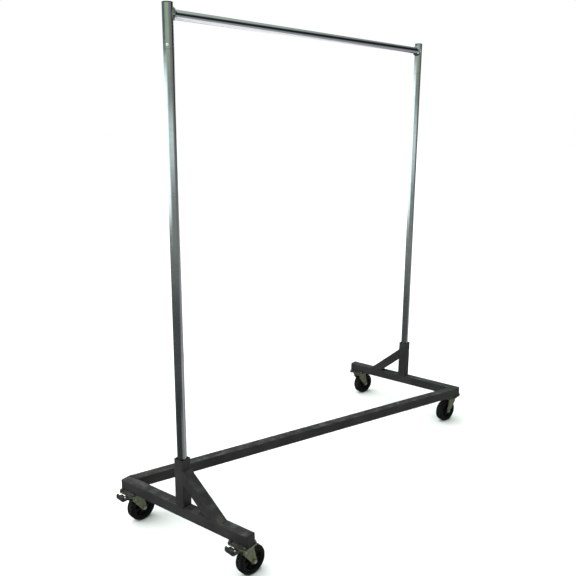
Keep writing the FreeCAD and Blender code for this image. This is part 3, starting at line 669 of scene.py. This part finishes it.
def plate_bolt(x, y, with_nut):
    """One bolt: its head below the plates and, except under the long bar's ends, its nut above them."""
    low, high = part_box("caster_plate_bolts")
    head = low[2] + BOLT_HEAD_RISE
    reach = high[2] - head if with_nut else PLATES_THICK
    shank = turned([(BOLT_SHANK_RADIUS, 0.0), (BOLT_SHANK_RADIUS, reach - 0.5 * MM),
                    (BOLT_SHANK_RADIUS * 0.8, reach)], count=20)
    skins = [moved(hex_head(BOLT_HEAD_RADIUS, 0.0, BOLT_HEAD_RISE, 0.3), hanging(x, y, head, HEX_TURN)),
             moved(shank, standing(x, y, head))]
    if with_nut:
        nut = hex_head(NUT_RADIUS, 0.0, NUT_RISE, 0.2)
        skins.append(moved(nut, standing(x, y, head + PLATES_THICK, HEX_TURN)))
    return skins


def bar_screws():
    """Domed socket screws on the long bar, the left one painted over, in place of the plain CAD ones."""
    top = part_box("base_bar_screws")[1][2]
    foot_face = abs(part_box("left_foot_tube")[1][0])
    reach = foot_face / math.cos(BAR_TURN) - SCREW_FROM_FOOT
    screws = []
    for side, across in SIDES.items():
        x = across * reach * math.cos(BAR_TURN)
        y = -across * reach * math.sin(BAR_TURN)
        dome = [(SCREW_RADIUS * math.cos(t), top - SCREW_RISE + SCREW_RISE * math.sin(t))
                for t in [math.radians(a) for a in (0, 15, 30, 45, 58)]]
        rings = [round_ring(SCREW_RADIUS * 0.6, top - SCREW_RISE * 2, 48)]
        rings += [round_ring(radius, along, 48) for radius, along in dome]
        rings += [hex_ring(SCREW_SOCKET, SCREW_RADIUS, top - 0.1 * MM),
                  hex_ring(SCREW_SOCKET_FLOOR, SCREW_RADIUS, top - SCREW_SOCKET_DEPTH)]
        skin = moved(join_rings(rings), standing(x, y, 0))
        slot = "base_paint" if side == "left" else "fastener_steel"
        screws.append(piece(side + "_bar_screw", [skin], slot, "root", sharp=28))
    for screw in screws:
        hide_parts("base_bar_screws")


def post_seam(side):
    """A ring of painted shade for the dark hairline where a post meets its upright."""
    post = middle(side + "_rail_post")
    radius = half_size(side + "_rail_post").x
    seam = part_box(side + "_upright")[1][2]
    lip = [(radius + SEAM_PROUD * math.cos(t), SEAM_HALF * math.sin(t))
           for t in [2 * math.pi * i / 8 for i in range(8)]]
    ring = turned(lip, closed=True, count=96)
    skin = moved(ring, standing(post.x, post.y, seam))
    # the ring carries painted shade for the shadow in the joint's gap
    piece(side + "_post_seam", [skin], "chrome", "root", finish=PAINTED_SHADOW_LINE)


def snap_button(side):
    """The polished dome of a post's snap button, in place of the plain CAD one; its near-white plating
    carries a painted glint.
    """
    node = side + "_snap_button"
    post = middle(side + "_rail_post")
    outward = math.radians(90 * SIDES[side])
    place = Matrix.Translation((post.x, post.y, middle(node).z))
    place = place @ Matrix.Rotation(SNAP_TURN - outward, 4, "Z")
    dome = [(SNAP_FLANGE, SNAP_SEAT - 1.4 * MM), (SNAP_FLANGE, SNAP_SEAT - 0.1 * MM),
            (SNAP_RADIUS, SNAP_SEAT)]
    dome += [(SNAP_RADIUS * math.cos(t), SNAP_TIP - SNAP_DOME + SNAP_DOME * math.sin(t))
             for t in [math.radians(9 * i) for i in range(10)]]
    made = piece(node + "_dome", [turned(dome)], "chrome", node, matrix=place, finish=BRIGHT_WITH_GLINT)
    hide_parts(node)


# ---------------------------------------------------------------- wheels

def tyre_profile(inner, outer, half):
    """Half profile of the tyre: bead step on the wall, round shoulder, two grooves in the tread."""
    wall = half - TYRE_WALL_SET_BACK
    points = [(inner + out * MM, wall + proud * MM) for out, proud in TYRE_SIDE]
    for i in range(9):
        t = math.radians(90 * i / 8)
        points.append((outer - SHOULDER + SHOULDER * math.sin(t) - 0.25 * MM * math.cos(t),
                       wall - SHOULDER + SHOULDER * math.cos(t)))
    bottom = outer - GROOVE_DEPTH
    points += [(outer, GROOVE_ASIDE + 0.6 * MM), (bottom, GROOVE_ASIDE + 0.35 * MM),
               (bottom, GROOVE_ASIDE - 0.35 * MM), (outer, GROOVE_ASIDE - 0.6 * MM)]
    return points


def tyre(name):
    """The rubber tyre with a moulded wall ring and fine tread grooves."""
    inner = half_size(name + "_wheel_core").z
    outer = half_size(name + "_tyre").z
    right = tyre_profile(inner, outer, TREAD_HALF)
    profile = right + [(radius, -along) for radius, along in reversed(right)]
    frame_at = axle_frame(name)
    made = piece(name + "_tyre_rubber", [turned(profile, closed=True, count=128)], "rubber",
                 name + "_wheel", matrix=frame_at, sharp=40)
    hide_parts(name + "_tyre")
    shaft = frame_at.to_3x3() @ ALONG_Y
    distances = made.data.attributes.new(FROM_AXLE, "FLOAT", "POINT")
    distances.data.foreach_set("value", [vertex.co.cross(shaft).length for vertex in made.data.vertices])


def rib(turn, inner, outer, low, high, thick):
    """A radial web between hub and rim, on one side of the wheel."""
    corners = []
    for radius, top in ((inner, high), (outer, high * 0.86)):
        for along in (low, top):
            for side in (-1, 1):
                taper = thick * (1.0 if along == low else 0.7) / 2
                corners.append(Vector((radius, along, side * taper)))
    a, b, c, d, e, f, g, h = [Matrix.Rotation(turn, 3, "Y") @ corner for corner in corners]
    return [a, b, c, d, e, f, g, h], [(0, 1, 3, 2), (4, 6, 7, 5), (0, 4, 5, 1),
                                      (2, 3, 7, 6), (0, 2, 6, 4), (1, 5, 7, 3)]


def wheel(name):
    """The moulded wheel: hub, ribbed web and rim."""
    outer = half_size(name + "_wheel_core").z
    right = [(BORE_RADIUS, HUB_HALF - 0.6 * MM), (BORE_RADIUS + 0.6 * MM, HUB_HALF),
             (HUB_RADIUS - 0.8 * MM, HUB_HALF), (HUB_RADIUS, HUB_HALF - 0.8 * MM),
             (HUB_RADIUS + 1.2 * MM, WEB_HALF + 1.5 * MM), (HUB_RADIUS + 2.4 * MM, WEB_HALF),
             (RIM_INNER - 2.4 * MM, WEB_HALF), (RIM_INNER - 1.0 * MM, WEB_HALF + 1.2 * MM),
             (RIM_INNER - 0.2 * MM, RIM_HALF - 1.0 * MM), (RIM_INNER + 0.6 * MM, RIM_HALF),
             (outer - 0.6 * MM, RIM_HALF), (outer, RIM_HALF - 0.6 * MM)]
    profile = right + [(radius, -along) for radius, along in reversed(right)]
    skins = [turned(profile, closed=True, count=96)]
    for i in range(RIB_COUNT):
        turn = 2 * math.pi * i / RIB_COUNT
        for way in (-1, 1):
            skins.append(rib(turn, HUB_RADIUS, RIM_INNER + 0.2 * MM, way * (WEB_HALF - 1.0 * MM),
                             way * (RIM_HALF - 1.5 * MM), RIB_THICK))
    made = piece(name + "_wheel_moulding", skins, "wheel_plastic", name + "_wheel",
                 matrix=axle_frame(name))
    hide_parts(name + "_wheel_core")


def axle(name):
    """The axle bolt: hexagon head and washer on one side, lock nut and washer on the other."""
    frame_at = axle_frame(name)
    end = LEG_OUTER + AXLE_HEAD
    skins = [turned([(AXLE_RADIUS, -end + 1 * MM), (AXLE_RADIUS, end - 0.6 * MM),
                     (AXLE_RADIUS - 0.6 * MM, end)], count=32)]
    for way in (-1, 1):
        face = way * LEG_OUTER
        skins.append(turned([(AXLE_RADIUS, face), (AXLE_HEAD_RADIUS - WASHER_EDGE, face),
                             (AXLE_HEAD_RADIUS, face + way * WASHER_EDGE),
                             (AXLE_HEAD_RADIUS, face + way * (WASHER_THICK - WASHER_EDGE)),
                             (AXLE_HEAD_RADIUS - WASHER_EDGE, face + way * WASHER_THICK),
                             (AXLE_RADIUS, face + way * WASHER_THICK)], count=48))
    corner = AXLE_HEAD_RADIUS * 0.97
    skins.append(hex_head(corner, -LEG_OUTER - WASHER_THICK, -end, 0.25))
    collar = end - 1.2 * MM
    skins.append(hex_head(corner, LEG_OUTER + WASHER_THICK, collar, 0.25))
    skins.append(turned([(corner * 0.80, collar), (corner * 0.78, collar + 0.5 * MM),
                         (corner * 0.70, collar + COLLAR_RISE),
                         (AXLE_RADIUS, collar + COLLAR_RISE)], count=48))
    made = piece(name + "_axle_bolt", skins, "fastener_steel", name + "_fork", matrix=frame_at, sharp=28)
    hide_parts(name + "_axle")


def softened(corners, radius, steps=5):
    """An outline whose corners are smooth curves that start radius before them."""
    points = []
    for i, corner in enumerate(corners):
        before = corners[i - 1] - corner
        after = corners[(i + 1) % len(corners)] - corner
        reach = min(radius, before.length * 0.45, after.length * 0.45)
        start = corner + before.normalized() * reach
        end = corner + after.normalized() * reach
        for j in range(steps + 1):
            t = j / steps
            points.append(start * (1 - t) ** 2 + corner * 2 * t * (1 - t) + end * t ** 2)
    return points


def cushioned(outline, anchor, half, soft, least):
    """A solid across local Y whose outline shrinks towards anchor over its two soft ends."""
    turns = [math.radians(15 * i) for i in range(7)]
    ends = [(half - soft + soft * math.sin(t), least + (1 - least) * math.cos(t)) for t in turns]
    stations = [(-along, size) for along, size in reversed(ends)] + ends
    return join_rings([[anchor + (point - anchor) * size + ALONG_Y * along for point in outline]
                       for along, size in stations])


def side_outline(corners):
    """The pedal's outline in the model's metres from (back, height) pairs in mm."""
    return [Vector((-back, 0, height)) * MM for back, height in corners]


def brake_pedal(name):
    """The pressed lever, its pivot boss, the ribbed tread with folded sides and the rounded toe grip."""
    swivel = middle(name + "_kingpin")
    frame_at = axle_frame(name)
    frame_at.translation = Vector((swivel.x, swivel.y, 0))
    skins = []
    for corners, half, radius in ((TREAD_SIDE, PEDAL_HALF, TREAD_ROUNDING),
                                  (LEVER_SIDE, LEVER_HALF, LEVER_ROUNDING)):
        outline = softened(side_outline(corners), radius)
        centre = sum(outline, Vector()) / len(outline)
        skins.append(cushioned(outline, centre, half, PRESSED_EDGE, 0.94))
    grip = softened(side_outline(GRIP_SIDE), GRIP_ROUNDING)
    skins.append(cushioned(grip, GRIP_ROOT, PEDAL_HALF, GRIP_SOFT_END, GRIP_END_SIZE))
    skirt = softened(side_outline(SKIRT_SIDE), LEVER_ROUNDING)
    centre = sum(skirt, Vector()) / len(skirt)
    for way in (-1, 1):
        flange = cushioned(skirt, centre, SKIRT_HALF, SKIRT_EDGE, 0.95)
        skins.append(moved(flange, Matrix.Translation((0, way * SKIRT_ASIDE, 0))))
    boss = turned([(PIVOT_BORE, -LEVER_HALF), (PIVOT_BOSS, -LEVER_HALF),
                   (PIVOT_BOSS, LEVER_HALF), (PIVOT_BORE, LEVER_HALF)], closed=True, count=48)
    skins.append(moved(boss, Matrix.Translation((-PIVOT_BACK, 0, PIVOT_HEIGHT))))
    top = TREAD_SIDE[-1][1] * MM
    for back in RIB_BACKS:
        skins.append(tread_rib(back, top))
    made = piece(name + "_pedal_pressing", skins, "pedal_paint", name + "_brake_pedal", matrix=frame_at)
    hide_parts(name + "_brake_pedal")
    pedal_rivet(name, frame_at, top)


def tread_rib(back, top):
    """A low rounded bar across the tread."""
    half = PEDAL_HALF - TREAD_RIB_MARGIN
    turns = [2 * math.pi * j / 12 for j in range(12)]
    stations = ((-half, 0.4), (-half + 1 * MM, 1.0), (half - 1 * MM, 1.0), (half, 0.4))
    return join_rings([[Vector((-back + TREAD_RIB_HALF * size * math.cos(t), along,
                                top + TREAD_RAISED * size * math.sin(t))) for t in turns]
                       for along, size in stations])


def pedal_rivet(name, frame_at, top):
    """The flat rivet head beside the middle of the tread, in near-white plating with a painted glint."""
    dome = [(RIVET_RADIUS, -1 * MM), (RIVET_RADIUS, TREAD_RAISED * 0.3),
            (RIVET_RADIUS * 0.85, TREAD_RAISED * 0.8), (RIVET_RADIUS * 0.5, TREAD_RAISED)]
    skin = moved(turned(dome, count=32), standing(-RIVET_BACK, RIVET_ASIDE, top))
    piece(name + "_pedal_rivet", [skin], "fastener_steel", name + "_brake_pedal",
          matrix=frame_at, finish=BRIGHT_WITH_GLINT)


# ---------------------------------------------------------------- room, floor, lights and camera

class Room(Graph):
    """The surroundings: one plain colour to the camera, a workshop's light to everything else."""

    def __init__(self):
        world = bpy.data.worlds.new("studio")
        bpy.context.scene.world = world
        world.use_nodes = True
        super().__init__(world.node_tree)
        self.tree.nodes.clear()
        place = self.add("ShaderNodeTexCoord").outputs["Generated"]
        split = self.add("ShaderNodeSeparateXYZ")
        self.feed(place, split.inputs["Vector"])
        x, y, z = [split.outputs[letter] for letter in "XYZ"]
        facing = self.math("ARCTAN2", y, x)
        self.azimuth = self.turned(self.math("MULTIPLY", facing, 180 / math.pi))
        self.elevation = self.math("MULTIPLY", self.math("ARCSINE", z), 180 / math.pi)

    def turned(self, degrees):
        """The azimuth counted from ROOM_FACING, from -180 to 180."""
        away = self.math("SUBTRACT", degrees, ROOM_FACING)
        return self.math("SUBTRACT", self.math("MODULO", self.math("ADD", away, 540.0), 360.0), 180.0)

    def window(self, value, low, high, soft):
        """1 between low and high, with soft ends."""
        rise = self.spread(value, low - soft / 2, low + soft / 2)
        fall = self.spread(value, high - soft / 2, high + soft / 2, 1.0, 0.0)
        return self.math("MULTIPLY", rise, fall)

    def panel(self, below, colour, azimuth, elevation, soft=(30.0, 6.0)):
        """A soft edged patch of colour over what was there."""
        across = self.window(self.azimuth, *azimuth, soft[0])
        upward = self.window(self.elevation, *elevation, soft[1])
        return self.mix(self.math("MULTIPLY", across, upward), below, colour)

    def finish(self, colour, seen):
        """Light the scene with colour, and show the camera one plain colour."""
        light = self.add("ShaderNodeBackground")
        self.feed(colour, light.inputs["Color"])
        plain = self.add("ShaderNodeBackground")
        plain.inputs["Color"].default_value = seen + (1.0,)
        choose = self.add("ShaderNodeMixShader")
        self.feed(self.add("ShaderNodeLightPath").outputs["Is Camera Ray"], choose.inputs[0])
        self.feed(light.outputs[0], choose.inputs[1])
        self.feed(plain.outputs[0], choose.inputs[2])
        self.feed(choose.outputs[0], self.add("ShaderNodeOutputWorld").inputs["Surface"])


# Soft patches of a workshop, later ones over earlier ones: colour, azimuth span from ROOM_FACING, elevation
# span, and how softly each span begins and ends. They are chosen for how the chrome reflects them.
ROOM_PATCHES = (
    ((0.26, 0.29, 0.27), (-400, 400), (-13, 34), (1, 8)),
    ((0.50, 0.60, 0.54), (-400, 400), (33, 120), (1, 12)),
    ((0.13, 0.19, 0.21), (-130, -60), (4, 20), (20, 4)),
    ((0.43, 0.54, 0.40), (-52, 25), (3, 20), (20, 4)),
    ((1.60, 1.85, 1.90), (-190, -45), (-8, 3), (50, 4)),
    ((0.75, 0.90, 0.88), (-45, 55), (-5, 0), (40, 4)),
    ((0.20, 0.21, 0.20), (60, 120), (-14, 10), (30, 8)),
    ((1.20, 1.23, 1.25), (80, 400), (-70, -18), (60, 9)),
    ((1.30, 1.30, 1.30), (128, 400), (-70, 3), (20, 6)),
    ((0.015, 0.02, 0.022), (92, 135), (-3, 28), (12, 12)),
    ((0.40, 0.38, 0.43), (84, 150), (-31, -10), (16, 8)),
    ((0.24, 0.27, 0.27), (20, 80), (-90, -24), (24, 3)),
    ((0.045, 0.05, 0.05), (-90, 20), (-90, -22), (24, 6)),
)
ROOM_BASE = (0.085, 0.095, 0.095)
BACKDROP = (1.0, 1.0, 1.0)


def build_room():
    """Lay the patches over the base colour, one after the other."""
    room = Room()
    colour = ROOM_BASE
    for patch, azimuth, elevation, soft in ROOM_PATCHES:
        colour = room.panel(colour, patch, azimuth, elevation, soft)
    room.finish(colour, BACKDROP)


def build_floor():
    """A wide pale floor with faint clouding."""
    corners = [Vector((x * FLOOR_HALF, y * FLOOR_HALF, 0)) for x, y in ((-1, -1), (1, -1), (1, 1), (-1, 1))]
    mesh = bpy.data.meshes.new("floor")
    mesh.from_pydata(corners, [], [(0, 1, 2, 3)])
    floor = bpy.data.objects.new("floor", mesh)
    bpy.context.scene.collection.objects.link(floor)
    paint = Paint("floor_pale")
    paint.colour(paint.mix(paint.spread(paint.noise(3.0), 0.3, 0.7), FLOOR_DARK, FLOOR_LIGHT))
    paint.constant(Roughness=0.9)
    mesh.materials.append(paint.material)
    floor.visible_glossy = False


def add_light(name, data, aim):
    """Put a light in the scene, aimed along a direction; reflections don't show it."""
    light = bpy.data.objects.new(name, data)
    light.rotation_mode = "QUATERNION"
    light.rotation_quaternion = aim.to_track_quat("-Z", "Y")
    bpy.context.scene.collection.objects.link(light)
    light.visible_glossy = False
    return light


def build_lights():
    """A very soft light from far above, so that the whole floor is evenly lit, and a weak fill."""
    ceiling = bpy.data.lights.new("ceiling", "SUN")
    ceiling.energy = CEILING_STRENGTH
    ceiling.angle = math.radians(CEILING_SPREAD)
    add_light("ceiling", ceiling, CEILING_AIM)
    fill = bpy.data.lights.new("fill", "AREA")
    fill.shape = "SQUARE"
    fill.size = FILL_SIZE
    fill.energy = FILL_WATTS
    add_light("fill", fill, FILL_AIM - FILL_PLACE).location = FILL_PLACE


def build_camera():
    """A level camera turned to its yaw and pitch, then rolled about its own axis."""
    yaw, pitch = CAMERA_YAW, CAMERA_PITCH
    ahead = Vector((math.sin(yaw) * math.cos(pitch), math.cos(yaw) * math.cos(pitch), math.sin(pitch)))
    data = bpy.data.cameras.new("camera")
    data.lens = CAMERA_LENS
    data.sensor_width = CAMERA_SENSOR
    camera = bpy.data.objects.new("camera", data)
    camera.rotation_mode = "QUATERNION"
    level = ahead.to_track_quat("-Z", "Y")
    camera.rotation_quaternion = level @ Matrix.Rotation(CAMERA_ROLL, 4, "Z").to_quaternion()
    camera.location = CAMERA_PLACE
    bpy.context.scene.collection.objects.link(camera)
    bpy.context.scene.camera = camera


# ---------------------------------------------------------------- build everything

bpy.context.scene.view_settings.view_transform = "Standard"
dress_cad_nodes()
base_welds()
plate_welds()
plate_bolts()
bar_screws()
for side in SIDES:
    post_seam(side)
    snap_button(side)
for name in CASTERS:
    tyre(name)
    wheel(name)
    axle(name)
for name in BRAKED:
    brake_pedal(name)
build_room()
build_floor()
build_lights()
build_camera()
